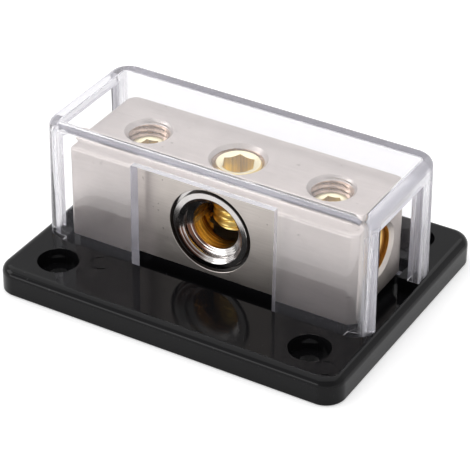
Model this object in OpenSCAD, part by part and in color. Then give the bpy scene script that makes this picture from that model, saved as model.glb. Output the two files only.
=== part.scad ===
// Power distribution block: one large cable in at the front, one smaller cable out at each end.
// Millimetres. The origin is at the centre of the base's underside, +X runs along the block,
// the large bore faces -Y and +Z is up.

/* [Base] */
// Length of the base along X
base_l = 76; // [74:1:110]
// Width of the base along Y
base_w = 59.7; // [56:0.1:90]
// Thickness of the base
base_h = 5.7; // [5.5:0.1:10]
// Radius of the base's corners seen from above
base_corner_r = 4.2; // [3:0.1:5]
// Radius of the rounded top edge
base_edge_r = 1.8; // [0.8:0.1:2.5]
// Distance of the mounting holes from the base's ends
hole_inset_x = 9.8; // [6:0.1:12]
// Distance of the mounting holes from the base's sides
hole_inset_y = 8.15; // [6:0.05:9]
// Diameter of the mounting holes
hole_d = 4.5; // [3.5:0.1:5.5]
// Diameter of their counterbores
counterbore_d = 8.4; // [7:0.1:9]
// Depth of their counterbores
counterbore_depth = 3.4; // [2:0.1:3.6]

/* [Recess round the block] */
// Gap between the cover's skirts and the recess at the front and rear
skirt_side_gap = 0.1; // [0.05:0.05:0.3]
// Gap between the cover's skirts and the recess at their ends
skirt_end_gap = 0.15; // [0.1:0.05:0.3]
// Gap under the cover's skirts
skirt_floor_gap = 0.2; // [0.1:0.05:0.4]
// How far the end parts of the recess reach past the cover's ends
recess_past_end = 0.05; // [0:0.05:0.2]
// How far the end parts of the recess reach past the end windows' sides
recess_past_window = 0.3; // [0.1:0.1:0.6]
// How far the island under the block lies in from the block's ends
island_inset_x = 0.95; // [0.5:0.05:3]
// How far the island under the block lies in from the block's front and rear
island_inset_y = 0.2; // [0.1:0.05:1]
// Corner radius of the island
island_corner_r = 1.6; // [0.5:0.1:3]

/* [Terminal block] */
// Gap between the block's ends and the inside of the cover
block_end_gap = 2.65; // [1:0.05:4]
// Width of the block along Y
block_w = 21.6; // [20:0.1:23]
// Height of the block
block_h = 20.2; // [18.5:0.1:21]
// Radius of the block's upright corners at the front
block_front_r = 0.8; // [0.8:0.1:2]
// Radius of the block's upright corners at the rear
block_rear_r = 2.4; // [1:0.1:4]
// Radius of the block's top edges
block_edge_r = 0.6; // [0.2:0.1:0.7]
// How far the bores' axes lie above the middle of the block's height
bore_rise = 0.06; // [-0.5:0.01:0.5]
// Diameter of the front bore
front_bore_d = 10.2; // [8:0.1:10.6]
// Width of the ledge from the front bore out to the step in its mouth
front_ledge_w = 1.2; // [0.6:0.1:1.4]
// Width of the countersink outside the front bore's step
front_countersink_w = 0.75; // [0.4:0.05:1]
// Width of the flat lip round the front bore
front_lip_w = 1.25; // [0.8:0.05:1.3]
// Wall left behind the front bore, up to the drill point's rim
front_back_wall = 4.6; // [3.6:0.1:6]
// Diameter of the end bores
end_bore_d = 8.2; // [6:0.1:8.6]
// Width of the ledge from an end bore out to the step in its mouth
end_ledge_w = 1; // [0.6:0.1:1.2]
// Width of the countersink outside an end bore's step
end_countersink_w = 0.7; // [0.4:0.05:1]
// Width of the flat lip round an end bore
end_lip_w = 0.5; // [0.3:0.05:1]
// How far the end bores run on past the outer set screws
end_bore_past = 2.75; // [1:0.05:3.5]
// Width of the groove round a bore's mouth
groove_w = 0.7; // [0.3:0.1:0.7]
// Depth of the groove round a bore's mouth
groove_depth = 0.5; // [0.2:0.1:1]
// Depth of the countersink from a bore's face down to its step
countersink_depth = 0.7; // [0.4:0.1:1]
// Length of the step in a bore's mouth
step_l = 1; // [0.8:0.1:1.5]
// Length of the cone from the step down to the bore
cone_l = 0.6; // [0.4:0.1:1]
// Half the angle of the drill points
drill_half_angle = 59; // [45:1:65]
// How far the tapped holes run on below the bores they meet
tap_below = 0.3; // [0.1:0.1:0.5]
// Height and width of the chamfer at a tapped hole's mouth
tap_chamfer = 0.8; // [0.3:0.1:1]

/* [Set screws] */
// Distance of the outer set screws from the block's ends
outer_screw_inset = 10.75; // [9:0.05:12]
// Thread diameter of the centre set screw
centre_screw_d = 10; // [8:0.1:10.2]
// Thread diameter of the outer set screws
outer_screw_d = 8; // [6:0.1:8.4]
// Gap between a screw's threads and its tapped hole, on the radius
thread_gap = 0.05; // [0.02:0.01:0.1]
// Length of the centre set screw
centre_screw_l = 10.6; // [9.5:0.1:12]
// Length of the outer set screws
outer_screw_l = 8; // [7:0.1:10]
// How far the centre screw's top is below the block's top
centre_screw_sink = 0.8; // [0.3:0.1:2]
// How far the outer screws' tops are below the block's top
outer_screw_sink = 3; // [2:0.1:4]
// Width across flats of the centre screw's socket
centre_socket_af = 6; // [4:0.1:6.5]
// Width across flats of the outer screws' sockets
outer_socket_af = 4; // [3:0.1:5]
// Chamfer round a screw's socket end
screw_chamfer = 0.5; // [0.2:0.1:0.8]
// Height and width of the cone at a screw's lower end
screw_point = 1; // [0.5:0.1:1.5]
// Depth of the sockets as a share of the screw's length
socket_share = 0.5; // [0.3:0.05:0.6]

/* [Cover] */
// How far the cover's ends lie in from the base's ends
cover_margin = 1.6; // [1.6:0.1:3]
// Gap between the block and the cover's long walls
cover_side_gap = 1.4; // [0.8:0.1:2]
// Gap between the block's top and the cover's top
cover_top_gap = 4.5; // [3.6:0.1:8]
// Thickness of the cover's long walls
cover_wall = 2.8; // [1.8:0.1:3]
// Thickness of the cover's end walls
cover_end_wall = 2.5; // [1.8:0.1:2.6]
// Thickness of the cover's top
cover_top = 1.2; // [1:0.1:2]
// Radius of the cover's upright corners
cover_corner_r = 4.4; // [3:0.1:5]
// Radius of the cover's top edge
cover_edge_r = 1.8; // [0.8:0.1:2]
// Radius of the upright corners inside the cover
cover_inner_r = 1.4; // [1.3:0.1:2.5]
// Radius inside the cover where its walls meet its top
cover_inner_edge_r = 1.2; // [0.4:0.1:1.2]
// Left side of the front window, from the front bore's groove
window_left_gap = 6.3; // [2:0.1:8]
// Right side of the front window, from the front bore's groove
window_right_gap = 7.2; // [2:0.1:8]
// How far the front window's top edge is below the cover's top
window_below_top = 3.6; // [3.2:0.1:6]
// Front side of the right end window, from the bore's groove
right_window_front_gap = 3.9; // [2:0.1:3.9]
// Rear side of the right end window, from the bore's groove
right_window_rear_gap = 0.3; // [0.2:0.1:3.9]
// Front side of the left end window, from the bore's groove
left_window_front_gap = 2; // [0.2:0.1:3.9]
// Rear side of the left end window, from the bore's groove
left_window_rear_gap = 3.9; // [2:0.1:3.9]
// How far the end windows' top edges are below the cover's top
end_window_below_top = 3.6; // [3.2:0.1:6]
// How far the cover's skirts stop short of its ends
skirt_inset = 4.75; // [4.4:0.05:6]
// How far down the cover's skirts reach from the base's top
skirt_drop = 3.1; // [1:0.1:3.2]

/* [Fixing screws] */
// Distance of the fixing screws from the middle
fixing_x = 10; // [9:0.1:11]
// Shaft diameter of the fixing screws
fixing_d = 3; // [2.5:0.1:4]
// Head diameter of the fixing screws
fixing_head_d = 5.5; // [5:0.1:6]
// Head height of the fixing screws
fixing_head_h = 1.9; // [1.5:0.1:2.2]
// How far the fixing screws reach into the block
fixing_grip = 3.5; // [2.5:0.1:3.8]
// How far the heads lie above the base's underside
fixing_up = 0.3; // [0.2:0.1:0.5]
// Gap round the shafts in the base, on the radius
fixing_gap = 0.2; // [0.1:0.05:0.4]
// Gap round the heads in the base, on the radius
fixing_head_gap = 0.3; // [0.2:0.05:0.5]
// Width across flats of their sockets
fixing_socket_af = 2.5; // [2:0.1:3]
// Depth of their sockets
fixing_socket_h = 1.1; // [0.8:0.1:1.4]
// Room past their ends in the block's holes
fixing_end_gap = 0.5; // [0.2:0.1:0.6]

/* [Hidden] */
$fn = 96;
eps = 0.01;
over = 1;
hole_pitch_x = base_l - 2 * hole_inset_x;
hole_pitch_y = base_w - 2 * hole_inset_y;
cover_l = base_l - 2 * cover_margin;
cover_w = block_w + 2 * cover_side_gap + 2 * cover_wall;
cover_h = block_h + cover_top_gap + cover_top;
inner_l = cover_l - 2 * cover_end_wall;
inner_w = cover_w - 2 * cover_wall;
block_l = inner_l - 2 * block_end_gap;
block_z = base_h;
block_top = base_h + block_h;
bore_z = base_h + block_h / 2 + bore_rise;
cover_z = base_h + cover_h;
skirt_z = base_h - skirt_drop;
skirt_l = cover_l - 2 * skirt_inset;
front_step_d = front_bore_d + 2 * front_ledge_w;
front_lip_d = front_step_d + 2 * front_countersink_w;
front_mouth_d = front_lip_d + 2 * front_lip_w + 2 * groove_w;
front_bore_depth = block_w - front_back_wall;
end_step_d = end_bore_d + 2 * end_ledge_w;
end_lip_d = end_step_d + 2 * end_countersink_w;
end_mouth_d = end_lip_d + 2 * end_lip_w + 2 * groove_w;
end_bore_depth = outer_screw_inset + outer_screw_d / 2 + end_bore_past;
outer_screw_x = block_l / 2 - outer_screw_inset;
window_left_x = -front_mouth_d / 2 - window_left_gap;
window_right_x = front_mouth_d / 2 + window_right_gap;
window_up = cover_h - window_below_top;
right_window_front_y = -end_mouth_d / 2 - right_window_front_gap;
right_window_rear_y = end_mouth_d / 2 + right_window_rear_gap;
left_window_front_y = -end_mouth_d / 2 - left_window_front_gap;
left_window_rear_y = end_mouth_d / 2 + left_window_rear_gap;
end_window_up = cover_h - end_window_below_top;
recess_depth = skirt_drop + skirt_floor_gap;
recess_floor = base_h - recess_depth;
recess_side_l = skirt_l + 2 * skirt_end_gap;
recess_w = cover_w + 2 * skirt_side_gap;
recess_l = cover_l + 2 * recess_past_end;
recess_right_front_y = right_window_front_y - recess_past_window;
recess_right_rear_y = right_window_rear_y + recess_past_window;
recess_left_front_y = left_window_front_y - recess_past_window;
recess_left_rear_y = left_window_rear_y + recess_past_window;
island_l = block_l - 2 * island_inset_x;
island_w = block_w - 2 * island_inset_y;
fixing_l = base_h - fixing_up - fixing_head_h + fixing_grip;
fixing_hole_h = fixing_grip + fixing_end_gap;

// A plate with rounded upright corners and a rounded top edge, standing on z = 0.
module soft_plate(l, w, h, corner_r, edge_r) {
    for (x = [-1, 1], y = [-1, 1])
        translate([x * (l / 2 - corner_r), y * (w / 2 - corner_r), 0])
            rotate_extrude() edge_profile(corner_r, h, edge_r);
    for (s = [0, 180]) {
        rotate([0, 0, s])
            translate([l / 2 - corner_r, w / 2 - corner_r, 0])
                rotate([90, 0, 0])
                    linear_extrude(w - 2 * corner_r) edge_profile(corner_r, h, edge_r);
        rotate([0, 0, s])
            translate([-l / 2 + corner_r, w / 2 - corner_r, 0])
                rotate([90, 0, 90])
                    linear_extrude(l - 2 * corner_r) edge_profile(corner_r, h, edge_r);
    }
    translate([-l / 2 + corner_r, -w / 2 + corner_r, 0])
        cube([l - 2 * corner_r, w - 2 * corner_r, h]);
}

// The section of a plate's edge: a rectangle whose top outer corner is rounded.
module edge_profile(w, h, r) {
    square([w, h - r]);
    square([w - r, h]);
    intersection() {
        translate([w - r, h - r]) circle(r);
        translate([w - r, h - r]) square(r);
    }
}

// An upright bar with rounded corners.
module soft_bar(l, w, h, r) {
    for (x = [-1, 1], y = [-1, 1])
        translate([x * (l / 2 - r), y * (w / 2 - r), 0])
            cylinder(h = h, r = r);
    translate([-l / 2 + r, -w / 2, 0]) cube([l - 2 * r, w, h]);
    translate([-l / 2, -w / 2 + r, 0]) cube([l, w - 2 * r, h]);
}

// A six-sided prism of a given width across flats.
module socket(af, h) {
    cylinder(h = h, d = af / cos(30), $fn = 6);
}

// The recess round the block, without the island.
module recess() {
    difference() {
        union() {
            translate([-recess_side_l / 2, -recess_w / 2, recess_floor])
                cube([recess_side_l, recess_w, recess_depth + over]);
            translate([0, recess_right_front_y, recess_floor])
                cube([recess_l / 2, recess_right_rear_y - recess_right_front_y, recess_depth + over]);
            translate([-recess_l / 2, recess_left_front_y, recess_floor])
                cube([recess_l / 2, recess_left_rear_y - recess_left_front_y, recess_depth + over]);
        }
        translate([0, 0, recess_floor - over])
            soft_bar(island_l, island_w, recess_depth + 3 * over, island_corner_r);
    }
}

module base() {
    color([0.07, 0.07, 0.08])
    difference() {
        soft_plate(base_l, base_w, base_h, base_corner_r, base_edge_r);
        recess();
        for (x = [-1, 1], y = [-1, 1])
            translate([x * hole_pitch_x / 2, y * hole_pitch_y / 2, 0]) {
                translate([0, 0, -over]) cylinder(h = base_h + 2 * over, d = hole_d);
                translate([0, 0, base_h - counterbore_depth])
                    cylinder(h = counterbore_depth + over, d = counterbore_d);
            }
        for (x = [-fixing_x, fixing_x])
            translate([x, 0, -over]) {
                cylinder(h = base_h + 2 * over, d = fixing_d + 2 * fixing_gap);
                cylinder(h = fixing_up + fixing_head_h + over, d = fixing_head_d + 2 * fixing_head_gap);
            }
    }
}

// A wire bore along +Z with its mouth at z = 0, cut downwards: a groove round a flat lip, a
// countersink, a short step, and a cone down to the drilled bore.
module wire_bore(d, step_d, lip_d, mouth_d, depth) {
    point = d / 2 / tan(drill_half_angle);
    step_bottom = countersink_depth + step_l;
    difference() {
        translate([0, 0, -groove_depth]) cylinder(h = groove_depth + over, d = mouth_d);
        translate([0, 0, -groove_depth - over])
            cylinder(h = groove_depth + 3 * over, d = mouth_d - 2 * groove_w);
    }
    translate([0, 0, -countersink_depth])
        cylinder(h = countersink_depth + eps, d1 = step_d, d2 = lip_d);
    translate([0, 0, -step_bottom]) cylinder(h = step_l + eps, d = step_d);
    translate([0, 0, -step_bottom - cone_l]) cylinder(h = cone_l + eps, d1 = d, d2 = step_d);
    translate([0, 0, -depth]) cylinder(h = depth, d = d);
    translate([0, 0, -depth - point]) cylinder(h = point + eps, d1 = 0, d2 = d);
}

// A tapped hole from the block's top through to just below a bore, with a chamfered mouth.
module tapped_hole(d, bore_d) {
    bottom = bore_z - bore_d / 2 - tap_below;
    hole_d = d + 2 * thread_gap;
    translate([0, 0, bottom]) cylinder(h = block_top - bottom + over, d = hole_d);
    translate([0, 0, block_top - tap_chamfer])
        cylinder(h = tap_chamfer + eps, d1 = hole_d, d2 = hole_d + 2 * tap_chamfer);
}

module terminal_block() {
    color([0.82, 0.79, 0.78])
    difference() {
        union() {
            translate([0, 0, block_z])
                soft_plate(block_l, block_w, block_h, block_rear_r, block_edge_r);
            translate([0, -block_w / 4, block_z])
                soft_plate(block_l, block_w / 2, block_h, block_front_r, block_edge_r);
        }
        translate([0, -block_w / 2, bore_z])
            rotate([90, 0, 0])
                wire_bore(front_bore_d, front_step_d, front_lip_d, front_mouth_d, front_bore_depth);
        for (s = [-1, 1])
            translate([s * block_l / 2, 0, bore_z])
                rotate([0, s * 90, 0])
                    wire_bore(end_bore_d, end_step_d, end_lip_d, end_mouth_d, end_bore_depth);
        tapped_hole(centre_screw_d, front_bore_d);
        for (s = [-1, 1])
            translate([s * outer_screw_x, 0, 0]) tapped_hole(outer_screw_d, end_bore_d);
        for (x = [-fixing_x, fixing_x])
            translate([x, 0, block_z - over]) cylinder(h = fixing_hole_h + over, d = fixing_d);
    }
}

// A set screw with a flat socket end at z = 0 and its point down.
module set_screw(d, l, af) {
    difference() {
        union() {
            translate([0, 0, -screw_chamfer])
                cylinder(h = screw_chamfer, d1 = d, d2 = d - 2 * screw_chamfer);
            translate([0, 0, -l + screw_point])
                cylinder(h = l - screw_point - screw_chamfer, d = d);
            translate([0, 0, -l])
                cylinder(h = screw_point, d1 = d - 2 * screw_point, d2 = d);
        }
        translate([0, 0, -l * socket_share]) socket(af, l * socket_share + over);
    }
}

module centre_set_screw() {
    color([0.85, 0.68, 0.35])
    translate([0, 0, block_top - centre_screw_sink])
        set_screw(centre_screw_d, centre_screw_l, centre_socket_af);
}

module left_set_screw() {
    color([0.85, 0.68, 0.35])
    translate([-outer_screw_x, 0, block_top - outer_screw_sink])
        set_screw(outer_screw_d, outer_screw_l, outer_socket_af);
}

module right_set_screw() {
    color([0.85, 0.68, 0.35])
    translate([outer_screw_x, 0, block_top - outer_screw_sink])
        set_screw(outer_screw_d, outer_screw_l, outer_socket_af);
}

// The space inside the cover.
module cover_inside() {
    translate([0, 0, skirt_z - over])
        soft_plate(inner_l, inner_w, cover_z - cover_top - skirt_z + over, cover_inner_r,
                   cover_inner_edge_r);
}

module cover() {
    color([0.85, 0.85, 0.92, 0.35])
    difference() {
        translate([0, 0, skirt_z])
            soft_plate(cover_l, cover_w, cover_z - skirt_z, cover_corner_r, cover_edge_r);
        cover_inside();
        translate([window_left_x, -cover_w, skirt_z - over])
            cube([window_right_x - window_left_x, cover_w, base_h + window_up - skirt_z + over]);
        translate([0, right_window_front_y, skirt_z - over])
            cube([cover_l, right_window_rear_y - right_window_front_y,
                  base_h + end_window_up - skirt_z + over]);
        translate([-cover_l, left_window_front_y, skirt_z - over])
            cube([cover_l, left_window_rear_y - left_window_front_y,
                  base_h + end_window_up - skirt_z + over]);
        // The corners stand on the base's top: only the long walls go down into the recess.
        difference() {
            translate([-cover_l, -cover_w, skirt_z - over])
                cube([2 * cover_l, 2 * cover_w, skirt_drop + over]);
            translate([-skirt_l / 2, -cover_w, skirt_z - 2 * over])
                cube([skirt_l, 2 * cover_w, skirt_drop + 3 * over]);
        }
    }
}

// A pan head screw driven upwards through the base into the block.
module fixing_screw() {
    translate([0, 0, fixing_up])
    difference() {
        union() {
            cylinder(h = fixing_head_h, d = fixing_head_d);
            cylinder(h = fixing_head_h + fixing_l, d = fixing_d);
        }
        translate([0, 0, -over]) socket(fixing_socket_af, fixing_socket_h + over);
    }
}

module left_fixing_screw() {
    color([0.55, 0.56, 0.58])
    translate([-fixing_x, 0, 0]) fixing_screw();
}

module right_fixing_screw() {
    color([0.55, 0.56, 0.58])
    translate([fixing_x, 0, 0]) fixing_screw();
}

base();
terminal_block();
cover();
centre_set_screw();
left_set_screw();
right_set_screw();
left_fixing_screw();
right_fixing_screw();
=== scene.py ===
"""Looks for a power distribution block: moulded base, plated terminal block, set screws, clear cover."""

import math
from collections import namedtuple

import bpy
import bmesh
from bpy.props import FloatProperty, FloatVectorProperty, PointerProperty
from mathutils import Matrix, Vector


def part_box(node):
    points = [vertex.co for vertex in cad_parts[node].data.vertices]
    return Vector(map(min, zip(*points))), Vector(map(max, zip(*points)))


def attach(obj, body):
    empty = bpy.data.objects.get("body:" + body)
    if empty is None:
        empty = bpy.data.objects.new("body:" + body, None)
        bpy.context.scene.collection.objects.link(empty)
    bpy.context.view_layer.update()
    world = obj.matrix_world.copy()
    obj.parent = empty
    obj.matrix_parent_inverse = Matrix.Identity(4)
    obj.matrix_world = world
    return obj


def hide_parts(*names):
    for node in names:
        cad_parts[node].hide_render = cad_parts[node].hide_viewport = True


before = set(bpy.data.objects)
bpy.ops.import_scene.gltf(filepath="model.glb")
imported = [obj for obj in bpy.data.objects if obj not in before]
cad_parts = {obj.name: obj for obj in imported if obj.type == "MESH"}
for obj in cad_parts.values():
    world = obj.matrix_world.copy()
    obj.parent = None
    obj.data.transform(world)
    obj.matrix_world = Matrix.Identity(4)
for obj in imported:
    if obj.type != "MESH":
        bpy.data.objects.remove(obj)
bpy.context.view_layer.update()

bl_info = {
    "name": "Power distribution block",
    "version": (1, 0, 0),
    "blender": (4, 5, 0),
    "location": "3D View > Sidebar > Terminal",
    "description": "Builds the visible pieces of a power distribution block round its fixed frame",
    "category": "Add Mesh",
}

MM = 0.001

# Steps of arcs, circles and threads
ARC_STEPS = 12
SMALL_ARC_STEPS = 8
ROUND_STEPS = 96
THREAD_STEPS = 9
THREAD_FLAT = 0.12
BEVEL_STEPS = 2
BEVEL_ANGLE = math.radians(35)
CREASE_ANGLE = math.radians(32)
QUARTER = math.radians(90)
HEX_CORNER = math.radians(30)
SINK_SLOPE = math.tan(math.radians(60))

# How far cutters reach past what they cut, and places that several pieces share
OVER = MM
BORE_TIP = 0.6
FRONT = (0, -1, 0)
FIXING_X = 10 * MM
SKIRT_END = 31.65 * MM
CENTRE_HOLE, OUTER_HOLE = 5.05 * MM, 4.05 * MM
CENTRE_TURN, OUTER_TURN = -6, 14
PIN_MARKS = [(-20.6 * MM, -18.2 * MM), (33.7 * MM, -25.8 * MM), (35.2 * MM, -4.75 * MM)]

# Materials of the block's and the set screws' faces
SATIN, TURNED, BORE, THREAD, GROOVE = range(5)
SCREW_SIDE, SOCKET, SCREW_FACE = range(3)

# A wire bore's mouth, and a set screw with its tapped hole
Mouth = namedtuple("Mouth", "direction origin bore step lip depth")
Thread = namedtuple("Thread", "side x crest root pitch socket hole turn")

# The first value's input and the output of a Mix node
MIX_PLACES = {"FLOAT": (2, 0), "RGBA": (6, 2)}

# Frequencies of the marks along X, Y and Z, and of the tool's rings
LINE_FREQUENCY = (160, 2600, 2600)
BLOTCH_FREQUENCY = (160, 210, 210)
GRIT_FREQUENCY = (900, 900, 900)
SMEAR_FREQUENCY = (70, 110, 90)
DUST_FREQUENCY = (1900, 1900, 1900)
WAVE_FREQUENCY = (120, 120, 120)
STAIN_FREQUENCY = (260, 260, 260)
BROACH_FREQUENCY = (1900, 1900, 90)
LEG_FREQUENCY = (1300, 1300, 70)
FINE_RINGS, STREAK_RINGS, COARSE_RINGS, BAND_RINGS = 5200.0, 2600.0, 1500.0, 620.0

# Spans of a noise over which a mark fades in, and the side of a mouth that gets a painted dark reflection
SPAN = (0.3, 0.7)
SPECK_SPAN = (0.74, 0.80)
SMEAR_SPAN = (0.42, 0.75)
DUST_SPAN = (0.84, 0.9)
PAINTED_REFLECTION_SIDE = (-0.76, -0.65)
STAIN_SHADE = 0.55

# Depths of bumps, in metres
FINE, MOULDED, COARSE, WAVE = 0.00001, 0.00002, 0.0001, 0.0002

# Least and greatest roughness of each finish, and how matt the cover's ends are
PLASTIC_ROUGH = (0.07, 0.13)
SATIN_ROUGH = (0.33, 0.46)
GOLD_ROUGH = (0.3, 0.42)
SOCKET_ROUGH = (0.26, 0.38)
STEEL_ROUGH = (0.25, 0.4)
COVER_ROUGH = (0.0, 0.02)
END_ROUGH = 0.26

# Tones of dust, specks, the painted shade in the groove and the light that comes through the cover
DUST_TONE = (0.03, 0.03, 0.032, 1)
NICKEL_SPECK = (0.2, 0.17, 0.15, 1)
GOLD_SPECK = (0.3, 0.18, 0.08, 1)
STEEL_SPECK = (0.2, 0.2, 0.2, 1)
GROOVE_SHADE_TONES = ((0.018, 0.012, 0.009, 1), (0.05, 0.036, 0.028, 1))
SHADOW_TONE = (0.93, 0.925, 0.95, 1)

# Gloss of the plastics, and how milky the cover is on its panes, its ends and their legs
PLASTIC_IOR, PLASTIC_SHINE = 1.5, 0.16
COVER_IOR, COVER_SHINE = 1.585, 0.3
GUIDED_SPAN = (0.2, 0.26)
PANE_MILK = (0.03, 0.29)
END_MILK = 0.3
LEG_STREAKS = (-0.24, 0.24)

# The camera, the world and the floor
PHOTO_PIXELS, SHIFT_PIXELS, SENSOR_WIDTH = 470, 0.76, 36
NEAR, FAR = 0.01, 20
WORLD_LIGHT, WORLD_SEEN, FRONT_DIM = 0.55, 0.85, 0.62
DIM_SPAN = (0.5, 0.86)
FLOOR_SEEN, FLOOR_MIRRORED = 0.4, 0.26
FLOOR_REACH, FLOOR_LOW, FLOOR_TOP = 6.0, -0.02, -0.00005

# Each lamp's name, place, target, size and power
LAMPS = [
    ("overhead", (-0.1, 0.15, 0.85), (0, 0, 0), (1.5, 1.5), 6.4),
    ("left_soft", (-0.9, -0.5, 0.6), (0, 0, 0.01), (0.6, 0.6), 3.0),
    ("front_low", (-0.45, -0.9, 0.14), (0, 0, 0.015), (0.7, 0.25), 1.6),
]

BASE_LOW, BASE_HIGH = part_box("base")
BLOCK_LOW, BLOCK_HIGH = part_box("terminal_block")
COVER_LOW, COVER_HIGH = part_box("cover")


def place(name, description, default, **limits):
    """A position property, which may be negative, from its default in millimetres."""
    return FloatProperty(name=name, description=description, default=default * MM, precision=5,
                         subtype="DISTANCE", unit="LENGTH", **limits)


def length(name, description, default):
    """A size property from its default in millimetres."""
    return place(name, description, default, min=0)


def colour(name, description, default):
    """A linear colour property."""
    return FloatVectorProperty(name=name, description=description, default=default, size=3,
                               min=0, max=1, subtype="COLOR")


class BaseSizes(bpy.types.PropertyGroup):
    """Sizes of the moulded base."""
    corner_radius: length("Corner radius", "Radius of the corners seen from above", 4.2)
    edge_radius: length("Edge radius", "Radius of the rounded top edge", 1.8)
    softness: length("Small edge radius", "Radius of the small moulded edges", 0.16)
    hole_inset_x: length("Hole inset along", "Distance of the mounting holes from the ends", 9.8)
    hole_inset_y: length("Hole inset across", "Distance of the mounting holes from the sides", 8.15)
    hole: length("Mounting hole", "Radius of the mounting holes", 2.25)
    counterbore: length("Counterbore", "Radius of the counterbores", 4.2)
    counterbore_depth: length("Counterbore depth", "Depth of the counterbores", 3.4)
    recess_depth: length("Recess depth", "Depth of the recess round the block", 3.3)
    skirt_length: length("Recess length", "Length of the recess along the cover's skirts", 63.6)
    end_front: place("Right part front", "Front side of the recess's right end part", -11.2)
    end_rear: place("Right part rear", "Rear side of the recess's right end part", 7.6)
    left_end_front: place("Left part front", "Front side of the recess's left end part", -9.3)
    left_end_rear: place("Left part rear", "Rear side of the recess's left end part", 11.2)
    island_radius: length("Island radius", "Corner radius of the island under the block", 1.6)
    pin_mark: length("Pin marks", "Radius of the ejector pin marks", 2.1)
    pin_depth: length("Pin mark depth", "Depth of the ejector pin marks", 0.12)


class BlockSizes(bpy.types.PropertyGroup):
    """Sizes of the plated terminal block."""
    front_radius: length("Front corner radius", "Radius of the upright corners at the front", 0.8)
    rear_radius: length("Rear corner radius", "Radius of the upright corners at the rear", 2.4)
    edge_radius: length("Edge radius", "Radius of the top edges", 0.6)
    bore_height: length("Bore height", "Height of the bores' axes", 15.86)
    front_bore: length("Front bore", "Radius of the front bore", 5.1)
    front_step: length("Front step", "Radius of the step in the front bore's mouth", 6.3)
    front_lip: length("Front lip", "Inner radius of the lip round the front bore", 7.05)
    front_groove: length("Front groove", "Outer radius of the groove round the front bore", 9.0)
    front_depth: length("Front depth", "Depth of the front bore", 17.0)
    end_bore: length("End bores", "Radius of the end bores", 4.1)
    end_step: length("End step", "Radius of the step in an end bore's mouth", 5.1)
    end_lip: length("End lip", "Inner radius of the lip round an end bore", 5.8)
    end_depth: length("End depth", "Depth of the end bores", 17.5)
    groove_width: length("Groove width", "Width of the groove", 0.7)
    groove_depth: length("Groove depth", "Depth of the groove", 1.1)
    countersink: length("Countersink", "Depth of the countersinks", 0.7)
    step_length: length("Step", "Length of the steps", 1.0)
    cone: length("Cone", "Length of the cones from the steps to the bores", 0.6)
    mouth: length("Mouth chamfer", "Chamfer at the tapped holes' mouths", 0.8)


class ScrewSizes(bpy.types.PropertyGroup):
    """Sizes of the set screws and their threads."""
    centre_crest: length("Centre crest", "Outer radius of the centre screw's thread", 4.84)
    centre_root: length("Centre root", "Inner radius of the centre screw's thread", 4.2)
    centre_pitch: length("Centre pitch", "Pitch of the centre screw's thread", 1.5)
    centre_socket: length("Centre socket", "Width across flats of the centre screw's socket", 6.0)
    outer_crest: length("Outer crest", "Outer radius of the outer screws' threads", 3.84)
    outer_root: length("Outer root", "Inner radius of the outer screws' threads", 3.3)
    outer_pitch: length("Outer pitch", "Pitch of the outer screws' threads", 1.25)
    outer_socket: length("Outer socket", "Width across flats of the outer screws' sockets", 4.0)
    centre_length: length("Centre length", "Length of the centre screw", 12.4)
    travel: length("Travel", "How far the screws can go down", 3.8)
    spare: length("Spare", "Gap between the screws' threads and the holes' threads", 0.03)
    outer_place: length("Outer place", "Distance of the outer screws from the middle", 20.5)


class CoverSizes(bpy.types.PropertyGroup):
    """Sizes of the clear cover."""
    wall: length("Long wall", "Thickness of the front and rear walls", 2.8)
    end_wall: length("End wall", "Thickness of the end walls", 2.5)
    roof: length("Roof", "Thickness of the top", 1.2)
    corner_radius: length("Corner radius", "Radius of the upright corners", 4.4)
    edge_radius: length("Edge radius", "Radius of the top edge", 1.8)
    inner_radius: length("Inner corner radius", "Radius of the upright corners inside", 1.2)
    inner_edge: length("Inner edge radius", "Radius where the walls meet the top inside", 0.6)
    draft: length("Draft", "How far the walls lean in by the top", 0.3)
    softness: length("Small edge radius", "Radius of the small moulded edges", 0.14)
    window_left: place("Window left", "Left side of the front window", -15.3)
    window_right: place("Window right", "Right side of the front window", 16.2)
    window_top: place("Window top", "Top of the windows", 28.0)
    right_front: place("Right window front", "Front side of the right end window", -10.9)
    right_rear: place("Right window rear", "Rear side of the right end window", 7.3)
    left_front: place("Left window front", "Front side of the left end window", -9.0)
    left_rear: place("Left window rear", "Rear side of the left end window", 10.9)


class Finishes(bpy.types.PropertyGroup):
    """Colours of the finishes."""
    plastic: colour("Base plastic", "Black moulded plastic", (0.0055, 0.0054, 0.006))
    nickel: colour("Nickel", "Satin nickel plate", (0.68, 0.625, 0.585))
    turned: colour("Turned nickel", "Polished plate in the bores' mouths", (0.66, 0.635, 0.62))
    # This colour paints a dark brown reflection low in the front bore's mouth
    painted_reflection: colour("Painted reflection", "Brown tarnish low in the front bore's mouth", (0.13, 0.06, 0.04))
    brass: colour("Bore", "Brass colour inside the bores", (0.97, 0.65, 0.24))
    deep_brass: colour("Bore bands", "Darker bands inside the bores", (0.22, 0.09, 0.02))
    thread: colour("Threads", "Thin plate over brass in the tapped holes", (0.56, 0.42, 0.33))
    gold: colour("Set screw threads", "Gold plate on the set screws' threads", (1.0, 0.78, 0.3))
    # The ends' paler gold is a painted highlight on the same gold plate as the threads
    face: colour("Set screw faces", "Gold plate on the set screws' ends", (0.99, 0.91, 0.62))
    socket: colour("Sockets", "Gold inside the sockets", (1.0, 0.82, 0.26))
    clear: colour("Cover", "Tint of the clear plastic", (0.965, 0.96, 0.975))
    milk: colour("Cover edges", "Milky tone where light runs along inside the cover", (0.74, 0.73, 0.79))
    steel: colour("Fixing screws", "Zinc plated steel", (0.58, 0.6, 0.62))


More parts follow.
